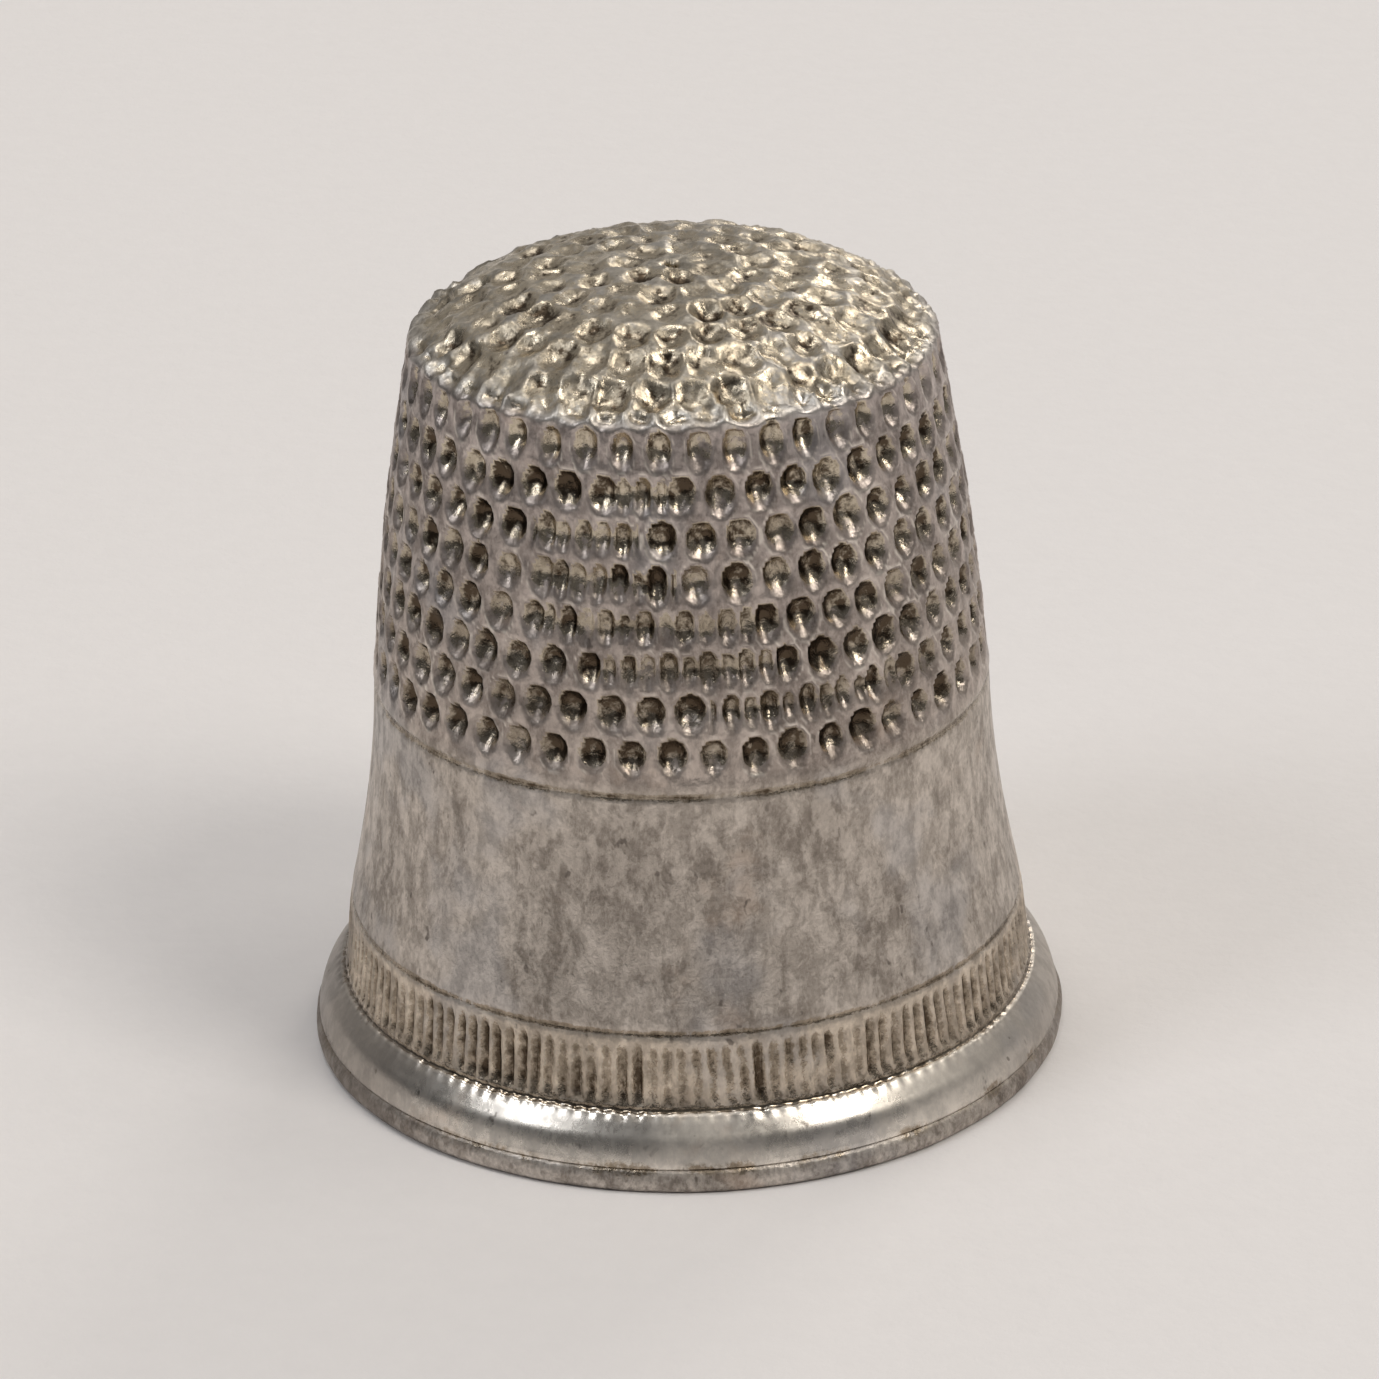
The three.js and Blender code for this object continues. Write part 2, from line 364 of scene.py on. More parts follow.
def cap_relief(angle, along, radius):
    """Depth and hollowness on the cap, at a distance along its curve from the middle, with tarnish and
    painted shade in its pits.

    The upper sides of its pits are the inner ones.
    """
    depth = np.zeros_like(angle)
    hollow = np.zeros_like(angle)
    for ring in CAP_RING_LIST:
        if abs(along + ring.place) > CAP_RING_PITCH:
            continue
        sizes = (CAP_PIT_HALF_WIDTH, CAP_PIT_HALF_HEIGHT, CAP_PIT_LEAN, CAP_BOWL_POWER)
        deep, tarnish_and_shade, _ = ring.relief(angle, -along, radius, *sizes)
        depth = np.maximum(depth, deep)
        hollow = np.maximum(hollow, CAP_HOLLOW_OF_DEPTH * deep + CAP_HOLLOW_OF_TARNISH_SHADE * tarnish_and_shade)
    push = CAP_PIT_DEPTH * depth - CAP_LIFT * math.exp(-((along / CAP_LIFT_REACH) ** CAP_LIFT_POWER))
    edge = EDGE_RING.relief(angle, -along, radius, EDGE_PIT_HALF_WIDTH, EDGE_PIT_HALF_HEIGHT, lean=0)[0]
    height = np.interp(along, CAP_ALONG, CAP_CURVE[:, 1])
    fine = grain(angle, height, radius, FINE_CELL)
    fine_depth = CAP_FINE if along < CORNER_START else CORNER_FINE
    rough = CAP_COARSE * grain(angle, height, radius, CAP_COARSE_CELL) + fine_depth * fine
    dark = np.maximum(hollow * (1 + CAP_TARNISH_SHADE_GRAIN * fine), EDGE_HOLLOW * edge)
    return np.maximum(push, EDGE_PIT_DEPTH * edge) + rough, dark


# ---- band, reeds and seam -----------------------------------------------------------------------------

BAND_ROUGH, BAND_CELL = 0.004, 0.5
# Tarnish and painted shade in the grooves: its even share, its patches and their size.
GROOVE_TARNISH_SHADE, GROOVE_PATCHES, GROOVE_CELL = 0.6, 0.4, 0.9

# Tarnish and painted shade in the seam's crease: how far it spreads, its even share and its patches.
SEAM_TARNISH_SHADE_WIDTH, SEAM_TARNISH_SHADE_EVEN, SEAM_PATCHES, SEAM_CELL = 0.2, 0.26, 0.34, 0.55

# Wear fades out this near to the seam and to the floor.
SEAM_FADE, FLOOR_FADE = 0.15, 0.1

# How the reeds wander, how sharp their crests are, and how deep they are from place to place.
REED_SWAY, REED_SWAY_CELL = 0.16, 1.1
VALLEY_POWER = 0.65
REED_MEAN, REED_SPREAD, REED_LEAST, REED_MOST = 0.95, 0.12, 0.5, 1.2
REED_WEAR, REED_WEAR_LEAST, REED_WEAR_MOST = 0.9, 0.2, 1.1
SMALL_WEAR, SMALL_WEAR_CELL = 0.5, 0.6
BROAD_WEAR, BROAD_WEAR_CELL = 0.25, 3.0
REED_END, REED_TOP_FADE, REED_FOOT_FADE = REED_TOP - 0.05, 0.15, 0.1
REED_ROUGH, FLANGE_ROUGH, REED_ROUGH_CELL = 0.008, 0.0005, 0.2
REED_HOLLOW, GUTTER_HOLLOW = 0.85, 0.65

# The nicks that the reeding tool left in the flange's upper edge, and the tarnish and painted shade in the
# gutter behind it.
NICK_DEPTH, NICK_HEIGHT, NICK_WIDTH, NICK_END = 0.35, FLANGE_TOP - 0.02, 0.09, FLANGE_TOP + 0.04
GUTTER_TARNISH_SHADE_HEIGHT, GUTTER_TARNISH_SHADE_WIDTH = GUTTER_FLOOR + 0.06, 0.08
GUTTER_TARNISH_SHADE_END = FLANGE_SHOULDER - 0.02

REED_STRENGTH = np.clip(rng.normal(REED_MEAN, REED_SPREAD, REED_COUNT), REED_LEAST, REED_MOST)


def band_relief(angle, height, radius):
    """The plain band, with a groove above it and one below, darkened with tarnish and painted shade."""
    groove = hump(height, GROOVE_1, GROOVE_HALF) + hump(height, GROOVE_2, GROOVE_HALF)
    rough = BAND_ROUGH * grain(angle, height, radius, BAND_CELL)
    tarnish_and_shade = GROOVE_TARNISH_SHADE + GROOVE_PATCHES * grain(angle, height, radius, GROOVE_CELL)
    return GROOVE_DEPTH * groove + rough, groove * tarnish_and_shade


# Tarnish along the seam between the flange and the bead, with painted shade in its crease.
def seam_tarnish_and_shade(angle, height):
    patchy = SEAM_TARNISH_SHADE_EVEN + SEAM_PATCHES * grain(angle, height, FLANGE_FOOT, SEAM_CELL)
    return hump(height, SEAM, SEAM_TARNISH_SHADE_WIDTH) * patchy


def wear_share(height):
    """Wear fades out at the seam and at the foot, where the two parts and the floor meet."""
    return min(1, abs(height - SEAM) / SEAM_FADE) * min(1, height / FLOOR_FADE)


def reed_wear(angle, height, radius):
    small = SMALL_WEAR * grain(angle, height, radius, SMALL_WEAR_CELL)
    broad = BROAD_WEAR * grain(angle, height, radius, BROAD_WEAR_CELL)
    return np.clip(REED_WEAR + small + broad, REED_WEAR_LEAST, REED_WEAR_MOST)


def reed_relief(angle, height, radius):
    """The valleys between the reeds, which wander a little and are worn shallow in places."""
    turn = angle / 360 * REED_COUNT + REED_SWAY * grain(angle, height, radius, REED_SWAY_CELL)
    valley = (0.5 - 0.5 * np.cos(TAU * turn)) ** VALLEY_POWER
    strength = REED_STRENGTH[np.floor(turn).astype(int) % REED_COUNT]
    top = np.clip((REED_END - height) / REED_TOP_FADE, 0, 1)
    foot = np.clip((height - GUTTER_TOP) / REED_FOOT_FADE, 0, 1)
    nick = NICK_DEPTH * hump(height, NICK_HEIGHT, NICK_WIDTH) * (height < NICK_END)
    hollow = valley * strength * reed_wear(angle, height, radius) * (top * foot + nick * (1 - foot))
    gutter = hump(height, GUTTER_TARNISH_SHADE_HEIGHT, GUTTER_TARNISH_SHADE_WIDTH) * (radius < GUTTER_TARNISH_SHADE_END)
    roughness = REED_ROUGH if height > GUTTER_TOP else FLANGE_ROUGH
    rough = roughness * grain(angle, height, radius, REED_ROUGH_CELL)
    tarnish_and_shade = np.maximum(REED_HOLLOW * hollow, GUTTER_HOLLOW * gutter)
    return REED_DEPTH * hollow + rough, np.maximum(tarnish_and_shade, seam_tarnish_and_shade(angle, height))


# ---- skins --------------------------------------------------------------------------------------------


def ring_faces(first, count, second, other):
    """Faces between two closed rings of points: quads where they match, else triangles."""
    if count == other:
        i = np.arange(count)
        j = (i + 1) % count
        return np.stack([first + i, first + j, second + j, second + i], axis=1).tolist()
    faces = []
    i = j = 0
    while i < count or j < other:
        if j == other or (i < count and (i + 1) * other <= (j + 1) * count):
            faces.append((first + i % count, first + (i + 1) % count, second + j % other))
            i += 1
        else:
            faces.append((first + i % count, second + (j + 1) % other, second + j % other))
            j += 1
    return faces


def fan(pole, first, count, flip):
    ring = [(first + i, first + (i + 1) % count) for i in range(count)]
    return [(pole, b, a) if flip else (pole, a, b) for a, b in ring]


def skin_faces(columns, closed):
    """The faces of a skin whose stations have these numbers of points. One point alone is a pole."""
    starts = np.concatenate([[0], np.cumsum(columns)]).tolist()
    faces = []
    for a in range(len(columns) if closed else len(columns) - 1):
        b = (a + 1) % len(columns)
        if columns[a] == 1:
            faces += fan(starts[a], starts[b], columns[b], flip=False)
        elif columns[b] == 1:
            faces += fan(starts[b], starts[a], columns[a], flip=True)
        else:
            faces += ring_faces(starts[a], columns[a], starts[b], columns[b])
    return faces


def inward_directions(stations, closed):
    """The unit direction, as [radius, height], that is into the metal at each station."""
    line = np.array([station[:2] for station in stations])
    if closed:
        slope = np.roll(line, -1, axis=0) - np.roll(line, 1, axis=0)
    else:
        slope = np.gradient(line, axis=0)
    inward = np.stack([slope[:, 1], -slope[:, 0]], axis=1)
    return inward / np.maximum(np.linalg.norm(inward, axis=1), TINY)[:, None]


def skin(name, stations, relief, closed):
    """A mesh object from stations (radius, height, columns), outside on the left going along them.

    relief(index, station, angles) gives how deep each point is pushed in and how hollow it is there; the
    material turns the hollowness into tarnish with painted shade, and into painted highlights on lips.
    """
    inward = inward_directions(stations, closed)
    points, hollows = [], []
    for index, station in enumerate(stations):
        radius, height, columns = station
        angle = np.arange(columns) * 360 / columns
        depth, hollow = relief(index, station, wrapped(angle))
        turn = np.radians(angle)
        out = radius + inward[index, 0] * depth
        up = height + inward[index, 1] * depth
        points.append(np.stack([out * np.sin(turn), -out * np.cos(turn), up], axis=1))
        hollows.append(hollow * np.ones(columns))
    mesh = bpy.data.meshes.new(name)
    faces = skin_faces([station[2] for station in stations], closed)
    mesh.from_pydata((np.concatenate(points) * MM).tolist(), [], faces)
    mesh.attributes.new("hollow", "FLOAT", "POINT").data.foreach_set("value", np.concatenate(hollows))
    mesh.polygons.foreach_set("use_smooth", [True] * len(mesh.polygons))
    mesh.update()
    piece = bpy.data.objects.new(name, mesh)
    bpy.context.scene.collection.objects.link(piece)
    return piece


# ---- the shell ----------------------------------------------------------------------------------------

# The corner between the cap and the wall: where it leaves the cap, what pulls it and where it ends.
CAP_BLEND_RADIUS = 5.6
CORNER = (6.1, 17.86)
CAP_JOIN = 17.36
CAP_CURVE_STEPS, CORNER_STEPS = 120, 30

# The wall's pits turn into the cap's over this height above the join, and none reaches past their end.
CAP_FADE = 0.25
TOP_ROW_END = KNURL_TOP + 0.4

# The pits shape the shell down to the first of these heights, and the band's grooves down to the second.
WALL_RELIEF_FOOT = KNURL_FOOT - 0.1
BAND_RELIEF_FOOT = REED_TOP + 0.08


def cap_curve():
    """[radius, height] points from the middle of the cap to the top of the wall."""
    radii = np.linspace(0, CAP_BLEND_RADIUS, CAP_CURVE_STEPS)
    blend = (CAP_BLEND_RADIUS, cap_height(CAP_BLEND_RADIUS))
    corner = bezier(blend, CORNER, (wall_radius(CAP_JOIN), CAP_JOIN), CORNER_STEPS)
    return np.concatenate([np.stack([radii, cap_height(radii)], axis=1), corner[1:]])


CAP_CURVE = cap_curve()
CAP_ALONG = distances(CAP_CURVE)
CAP_RING_LIST = cap_rings()
EDGE_RING = PitRing(EDGE_PITS, 0, -EDGE_PLACE, shift=EDGE_SHIFT, uneven=EDGE_UNEVEN)

# Columns on the cap, from its middle outwards: up to this distance along the curve, this many.
CAP_COLUMNS = [(0.5, 36), (1.1, 73), (2.2, 146), (3.6, 292), (math.inf, 438)]
CAP_FIRST_STEP, CAP_STEP = 0.08, 0.098

# Distances between stations on the rest of the outside.
WALL_STEP, SHOULDER_STEP, GROOVE_STEP, BAND_STEP = 0.105, 0.13, 0.065, 0.5
REED_STEP, GUTTER_STEP, FLANGE_STEP, BEND_STEP, FOOT_STEP = 0.19, 0.05, 0.09, 0.1, 0.05
GUTTER_CURVE_STEPS, BEND_CURVE_STEPS = 9, 30

# The cavity: how much thicker the sheet is behind the pits, where the straight wall ends, and the roof.
EXTRA_WALL, CAVITY_TOP = 0.2, 16.5
CAVITY_CORNER = [(5.25, 17.15), (4.95, 17.5)]
CAVITY_STEPS = 6
ROOF_THICKNESS, ROOF_EDGE, ROOF_MIDDLE, ROOF_STEPS = 0.6, 4.6, 0.3, 8

# The shell's dents: how many waves, the most that they turn and rise, and how deep they are together.
DENTS, DENT_TURNS, DENT_RISE, DENT_DEPTH = 10, 9, 0.5, 0.012


def cap_stations():
    """From the middle of the cap to its corner."""
    stations = [(0.0, HEIGHT, 1)]
    along = CAP_FIRST_STEP
    while along < CAP_ALONG[-1]:
        columns = next(number for limit, number in CAP_COLUMNS if along <= limit)
        radius, height = (np.interp(along, CAP_ALONG, CAP_CURVE[:, k]) for k in (0, 1))
        stations.append((radius, height, columns))
        along += CAP_STEP
    return stations


def outside_stations():
    """From the cap's corner down to the seam."""
    shoulder = (BAND_HEAD, GROOVE_1 + GROOVE_REACH)
    band_end = (BAND_FOOT, GROOVE_2 - GROOVE_HALF)
    flange_edge = (FLANGE_SHOULDER, FLANGE_TOP)
    gutter_pull = (GUTTER_RADIUS, GUTTER_FLOOR - GUTTER_SAG)
    flange_end = (FLANGE_FOOT, SEAM + FLANGE_FOOT_HEIGHT)
    parts = [
        (curve(wall_radius, CAP_JOIN, KNURL_FOOT), WALL_STEP),
        ([(KNURL_FOOT_RADIUS, KNURL_FOOT), shoulder], SHOULDER_STEP),
        ([shoulder, (BAND_HEAD, GROOVE_1 - GROOVE_REACH)], GROOVE_STEP),
        (curve(band_radius, GROOVE_1 - GROOVE_REACH, GROOVE_2 + GROOVE_REACH), BAND_STEP),
        (curve(band_radius, GROOVE_2 + GROOVE_REACH, GROOVE_2 - GROOVE_HALF), GROOVE_STEP),
        ([band_end, (REED_HEAD, REED_TOP), (REED_FOOT, GUTTER_TOP)], REED_STEP),
        (bezier((REED_FOOT, GUTTER_TOP), gutter_pull, flange_edge, GUTTER_CURVE_STEPS), GUTTER_STEP),
        ([flange_edge, FLANGE_BEND], FLANGE_STEP),
        (bezier(FLANGE_BEND, FLANGE_PULL, flange_end, BEND_CURVE_STEPS), BEND_STEP),
        ([flange_end, (FLANGE_FOOT, SEAM)], FOOT_STEP),
    ]
    stations = []
    for points, spacing in parts:
        line = resample(np.array(points), spacing)
        stations += [(radius, height, COLUMNS) for radius, height in line[1 if stations else 0 :]]
    return stations


def inside_stations():
    """From the seam round the mouth and up to the middle of the cavity's roof."""
    line = [(MOUTH_RADIUS, SEAM), (MOUTH_RADIUS, FLANGE_TOP)]
    line += [(band_radius(h) - WALL, h) for h in np.linspace(GROOVE_2, GROOVE_1, CAVITY_STEPS)]
    heights = np.linspace(KNURL_FOOT, CAVITY_TOP, CAVITY_STEPS)
    line += [(wall_radius(h) - EXTRA_WALL - WALL, h) for h in heights]
    line += CAVITY_CORNER
    line += [(r, cap_height(r) - ROOF_THICKNESS) for r in np.linspace(ROOF_EDGE, ROOF_MIDDLE, ROOF_STEPS)]
    stations = [(radius, height, INSIDE_COLUMNS) for radius, height in line]
    return stations + [(0.0, HEIGHT - ROOF_THICKNESS, 1)]


DENT_WAVES = random_waves(DENTS, DENT_TURNS, DENT_RISE)


def corner_relief(index, angle, height, radius):
    """The cap's relief, which turns into the wall's just above the join."""
    along = CAP_FIRST_STEP + CAP_STEP * (index - 1) if index else 0.0
    depth, hollow = cap_relief(angle, along, max(radius, TINY))
    if height < TOP_ROW_END:
        wall_depth, wall_hollow = wall_relief(angle, height, radius)
        share = min(1, (height - CAP_JOIN) / CAP_FADE)
        depth = share * np.maximum(depth, wall_depth) + (1 - share) * wall_depth
        hollow = share * np.maximum(hollow, wall_hollow) + (1 - share) * wall_hollow
    return depth, hollow


def shell_relief(index, station, angle):
    """The relief at one station of the shell. The inside is smooth, from above the mouth's lower edge."""
    radius, height, _ = station
    if index > FIRST_INSIDE:
        return np.zeros_like(angle), np.zeros_like(angle)
    if index < FIRST_WALL:
        depth, hollow = corner_relief(index, angle, height, radius)
    elif height > WALL_RELIEF_FOOT:
        depth, hollow = wall_relief(angle, height, radius)
    elif height > BAND_RELIEF_FOOT:
        depth, hollow = band_relief(angle, height, radius)
    else:
        depth, hollow = reed_relief(angle, height, radius)
    dents = DENT_DEPTH * ripple(angle, height, DENT_WAVES) * wear_share(height)
    return depth + dents, hollow


CAP_STATIONS = cap_stations()
OUTSIDE_STATIONS = outside_stations()
FIRST_WALL = len(CAP_STATIONS)
FIRST_INSIDE = FIRST_WALL + len(OUTSIDE_STATIONS)
SHELL_STATIONS = CAP_STATIONS + OUTSIDE_STATIONS + inside_stations()
shell = skin("silver_shell", SHELL_STATIONS, shell_relief, closed=False)
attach(shell, "root")
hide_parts("thimble_shell")


# ---- the ring at the mouth ----------------------------------------------------------------------------

# How much the ring's top is below the seam and inside the flange, and how its inner edges are eased.
RING_GAP, RING_BEVEL, RING_ROUND = 0.01, 0.05, 0.2

# How far below the seam the pull of the bead's upper curve is.
BEAD_PULL = 0.16
BEAD_CURVE_STEPS, ROUND_CURVE_STEPS = 20, 10
RING_STEP = 0.09

# The ring's dents, in the same order, and its roughness.
BEAD_DENTS, BEAD_TURNS, BEAD_RISE, BEAD_DENT_DEPTH = 10, 30, 1, 0.01
BEAD_ROUGH, BEAD_CELL = 0.012, 0.4


def ring_stations():
    """Around the ring's section, from its neck outwards and under."""
    top = SEAM - RING_GAP
    neck = (MOUTH_RADIUS + RING_BEVEL, top)
    seam_edge = (FLANGE_FOOT - RING_GAP, top)
    bead = (RIM_RADIUS, BEAD_MIDDLE)
    outer_foot, inner_foot = (BEAD_FOOT, 0.0), (MOUTH_RADIUS + RING_ROUND, 0.0)
    mouth = (MOUTH_RADIUS, RING_ROUND)
    outline = np.concatenate(
        [
            [neck, seam_edge],
            bezier(seam_edge, (RIM_RADIUS, SEAM - BEAD_PULL), bead, BEAD_CURVE_STEPS),
            bezier(bead, (RIM_RADIUS, 0.0), outer_foot, BEAD_CURVE_STEPS),
            [outer_foot, inner_foot],
            bezier(inner_foot, (MOUTH_RADIUS, 0.0), mouth, ROUND_CURVE_STEPS),
            [mouth, (MOUTH_RADIUS, top - RING_BEVEL), neck],
        ]
    )
    keep = np.concatenate([[True], np.hypot(*np.diff(outline, axis=0).T) > TINY])
    line = resample(outline[keep], RING_STEP)[:-1]
    return [(radius, height, RING_COLUMNS) for radius, height in line]


BEAD_WAVES = random_waves(BEAD_DENTS, BEAD_TURNS, BEAD_RISE)


def ring_relief(_, station, angle):
    radius, height, _ = station
    if height < TINY:
        return np.zeros_like(angle), np.zeros_like(angle)
    dents = BEAD_DENT_DEPTH * ripple(angle, height, BEAD_WAVES)
    rough = BEAD_ROUGH * grain(angle, height, radius, BEAD_CELL)
    return (dents + rough) * wear_share(height), seam_tarnish_and_shade(angle, height)


ring = skin("rim_bead", ring_stations(), ring_relief, closed=True)
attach(ring, "root")
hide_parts("rim_ring")


# ---- materials ----------------------------------------------------------------------------------------

# The sockets of a Mix node that mixes colours: its share, its two colours and its result.
MIX_SHARE, MIX_A, MIX_B, MIX_RESULT = 0, 6, 7, 2


class Nodes:
    """A short way to write a node tree."""

    def __init__(self, tree):
        self.tree = tree

    def add(self, kind, inputs=None, **settings):
        node = self.tree.nodes.new("ShaderNode" + kind)
        for key, value in settings.items():
            setattr(node, key, value)
        for key, value in (inputs or {}).items():
            self.put(node.inputs[key], value)
        return node

    def put(self, socket, value):
        if isinstance(value, bpy.types.NodeSocket):
            self.tree.links.new(value, socket)
        else:
            socket.default_value = value

    def maths(self, operation, a, b=0.0, c=0.0):
        return self.add("Math", {0: a, 1: b, 2: c}, operation=operation).outputs[0]

    def ramp(self, value, start, end, most=1.0):
        """Smoothly from 0 where the value is start to most where it is end."""
        inputs = {"Value": value, "From Min": start, "From Max": end, "To Min": 0.0, "To Max": most}
        return self.add("MapRange", inputs, interpolation_type="SMOOTHSTEP").outputs[0]

    def mix(self, share, a, b):
        node = self.add("Mix", data_type="RGBA")
        self.put(node.inputs[MIX_SHARE], share)
        self.put(node.inputs[MIX_A], a)
        self.put(node.inputs[MIX_B], b)
        return node.outputs[MIX_RESULT]

    def millimetres(self, stretch=(1, 1, 1)):
        place = self.add("TexCoord").outputs["Object"]
        scale = [s / MM for s in stretch]
        return self.add("VectorMath", {0: place, 1: scale}, operation="MULTIPLY").outputs[0]

    def split(self, vector):
        return self.add("SeparateXYZ", {0: vector}).outputs

    def noise(self, per_mm, detail=4.0, rough=0.6, stretch=(1, 1, 1), warp=0.0):
        inputs = {
            "Vector": self.millimetres(stretch),
            "Scale": per_mm,
            "Detail": detail,
            "Roughness": rough,
            "Distortion": warp,
        }
        return self.add("TexNoise", inputs).outputs["Fac"]

    def stops(self, place, stops):
        """A value or colour with straight runs between its stops, each (place from 0 to 1, shade)."""
        node = self.add("ValToRGB", {0: place})
        elements = node.color_ramp.elements
        while len(elements) < len(stops):
            elements.new(1.0)
        for element, (position, shade) in zip(elements, stops):
            element.position = position
            element.color = shade if isinstance(shade, tuple) else colour(shade, shade, shade)
        return node.outputs[0]


def new_material(name):
    """A material, its tree's writer and the inputs of its shader."""
    material = bpy.data.materials.new(name)
    material.use_nodes = True
    tree = material.node_tree
    return material, Nodes(tree), tree.nodes["Principled BSDF"].inputs


def colour(red, green, blue):
    return (red, green, blue, 1.0)


def by_height(n, stops):
    """A value or colour that changes with height, from stops of (height, shade)."""
    up = n.maths("DIVIDE", n.split(n.millimetres())[2], HEIGHT)
    return n.stops(up, [(height / HEIGHT, shade) for height, shade in stops])


def by_angle(n, stops):
    """A value that changes with the angle around Z, from stops of (degrees, value)."""
    place = n.split(n.millimetres())
    turn = n.maths("ARCTAN2", place[0], n.maths("MULTIPLY", place[1], -1.0))
    around = n.maths("MULTIPLY_ADD", turn, 1 / TAU, 0.5)
    return n.stops(around, [(angle / 360 + 0.5, value) for angle, value in stops])


# The noises that the silver's colour, roughness and bumps are made of.
SILVER_NOISES = {
    "edges": dict(per_mm=5.0, detail=4.0, rough=0.7),
    "broad": dict(per_mm=0.55, detail=6.0, rough=0.7, stretch=(1, 1, 0.6), warp=0.5),
    "mottle": dict(per_mm=2.4, detail=6.0, rough=0.72, stretch=(1, 1, 0.6), warp=0.3),
    "rubbed": dict(per_mm=4.0, detail=4.0, rough=0.6, stretch=(1, 1, 0.16)),
    "grit": dict(per_mm=9.0, detail=3.0, rough=0.6, stretch=(1, 1, 0.8)),
    "speck": dict(per_mm=3.6, detail=2.0, rough=0.45, stretch=(1, 1, 0.7)),
    "cool": dict(per_mm=0.3, detail=3.0, rough=0.55),
    "warm": dict(per_mm=0.42, detail=4.0, rough=0.6),
}

# How much of the mottled grey each noise makes. The rub marks take their share from the grit.
MOTTLE_SHARE, BROAD_SHARE, GRIT_SHARE = 0.42, 0.3, 0.28

# How ragged the edges of the hollows are, and how strong the stains and the dark specks are at most.
RAGGED_EDGES = 1.6
MOST_COOL, MOST_WARM, MOST_SPOT = 0.3, 0.35, 0.7

# How much the mottle and the matt parts change the roughness, and how high the fine bumps are.
MOTTLE_ROUGHNESS, MATTE_ROUGHNESS, LEAST_ROUGHNESS = 0.12, 0.16, 0.1
GRIT_BUMP, BUMP_DISTANCE = 0.6, 0.08 * MM

COOL_STAIN, WARM_STAIN = colour(0.46, 0.46, 0.48), colour(0.60, 0.46, 0.36)
DARK_SPOT = colour(0.12, 0.10, 0.085)
# The painted highlight on the pits' lips.
LIP_HIGHLIGHT = colour(0.76, 0.70, 0.63)
# Brown in the deepest hollows: tarnish, with painted shade.
BROWN = colour(0.085, 0.062, 0.042)
STAIN_PALE = [
    (REED_TOP, colour(0.42, 0.35, 0.27)),
    (KNURL_FOOT, colour(0.44, 0.385, 0.31)),
    (CAP_EDGE, colour(0.70, 0.615, 0.48)),
]
STAIN_DEEP = [
    (REED_TOP, colour(0.20, 0.165, 0.125)),
    (KNURL_FOOT, colour(0.22, 0.178, 0.132)),
    (CAP_EDGE, colour(0.40, 0.345, 0.265)),
]

# How much painted shade darkens the rim around its edge, and how matt it is there: it is rubbed bright in
# two places.
PAINTED_SHADE = colour(0.22, 0.185, 0.16)
PAINTED_SHADE_AROUND = [
    (-180, 0.3),
    (-105, 0.55),
    (-55, 0.55),
    (-40, 0.0),
    (40, 0.0),
    (70, 0.5),
    (110, 0.5),
    (180, 0.3),
]
MATTE_AROUND = [
    (-180, 1),
    (-60, 1),
    (-46, 0),
    (-8, 0),
    (-2, 1),
    (5, 1),
    (9, 0),
    (30, 0),
    (42, 1),
    (180, 1),
]

# How much shinier the pits are than the metal around them.
PIT_SHINE = [(KNURL_TOP, 0.2), (CAP_EDGE, 0.18)]


def ragged_hollow(n, noises):
    """The mesh's hollowness, above 0 in a hollow, where tarnish and painted shade go, and below 0 on a lip,
    where a highlight is painted, with a ragged edge.
    """
    smooth = n.add("Attribute", attribute_name="hollow").outputs["Fac"]
    uneven = n.maths("SUBTRACT", noises["edges"], 0.5)
    uneven = n.maths("MULTIPLY", uneven, n.ramp(smooth, start=0.05, end=0.4))
    return n.maths("MULTIPLY_ADD", uneven, RAGGED_EDGES, smooth)


def clean_share(n, noises, streaks):
    """How clean the metal is from place to place, from 0 to 1."""
    share = n.maths("MULTIPLY", n.ramp(noises["mottle"], start=0.41, end=0.59), MOTTLE_SHARE)
    share = n.maths("MULTIPLY_ADD", n.ramp(noises["broad"], start=0.42, end=0.58), BROAD_SHARE, share)
    share = n.maths("MULTIPLY_ADD", n.ramp(noises["grit"], start=0.4, end=0.6), GRIT_SHARE - streaks, share)
    return n.maths("MULTIPLY_ADD", n.ramp(noises["rubbed"], start=0.36, end=0.66), streaks, share)


def open_metal(n, noises, grey):
    """The metal outside the hollows: grey, with cool and warm stains and dark specks."""
    cool = n.mix(n.ramp(noises["cool"], start=0.54, end=0.66, most=MOST_COOL), grey, COOL_STAIN)
    warm = n.mix(n.ramp(noises["warm"], start=0.58, end=0.72, most=MOST_WARM), cool, WARM_STAIN)
    where_broad_is_low = n.ramp(noises["broad"], start=0.56, end=0.48)
    spots = n.maths("MULTIPLY", n.ramp(noises["speck"], start=0.68, end=0.76), where_broad_is_low)
    return n.mix(n.maths("MULTIPLY", spots, MOST_SPOT), warm, DARK_SPOT)


def hollows_and_lips(n, hollow, share, metal):
    """Painted highlights on the lips, stained hollows, and brown in the deepest of them: tarnish with
    painted shade.
    """
    stain = n.mix(share, by_height(n, STAIN_DEEP), by_height(n, STAIN_PALE))
    lips = n.mix(n.ramp(hollow, start=-0.1, end=-0.5), metal, LIP_HIGHLIGHT)
    stained = n.mix(n.ramp(hollow, start=0.12, end=0.5), lips, stain)
    return n.mix(n.ramp(hollow, start=0.5, end=0.95), stained, BROWN)


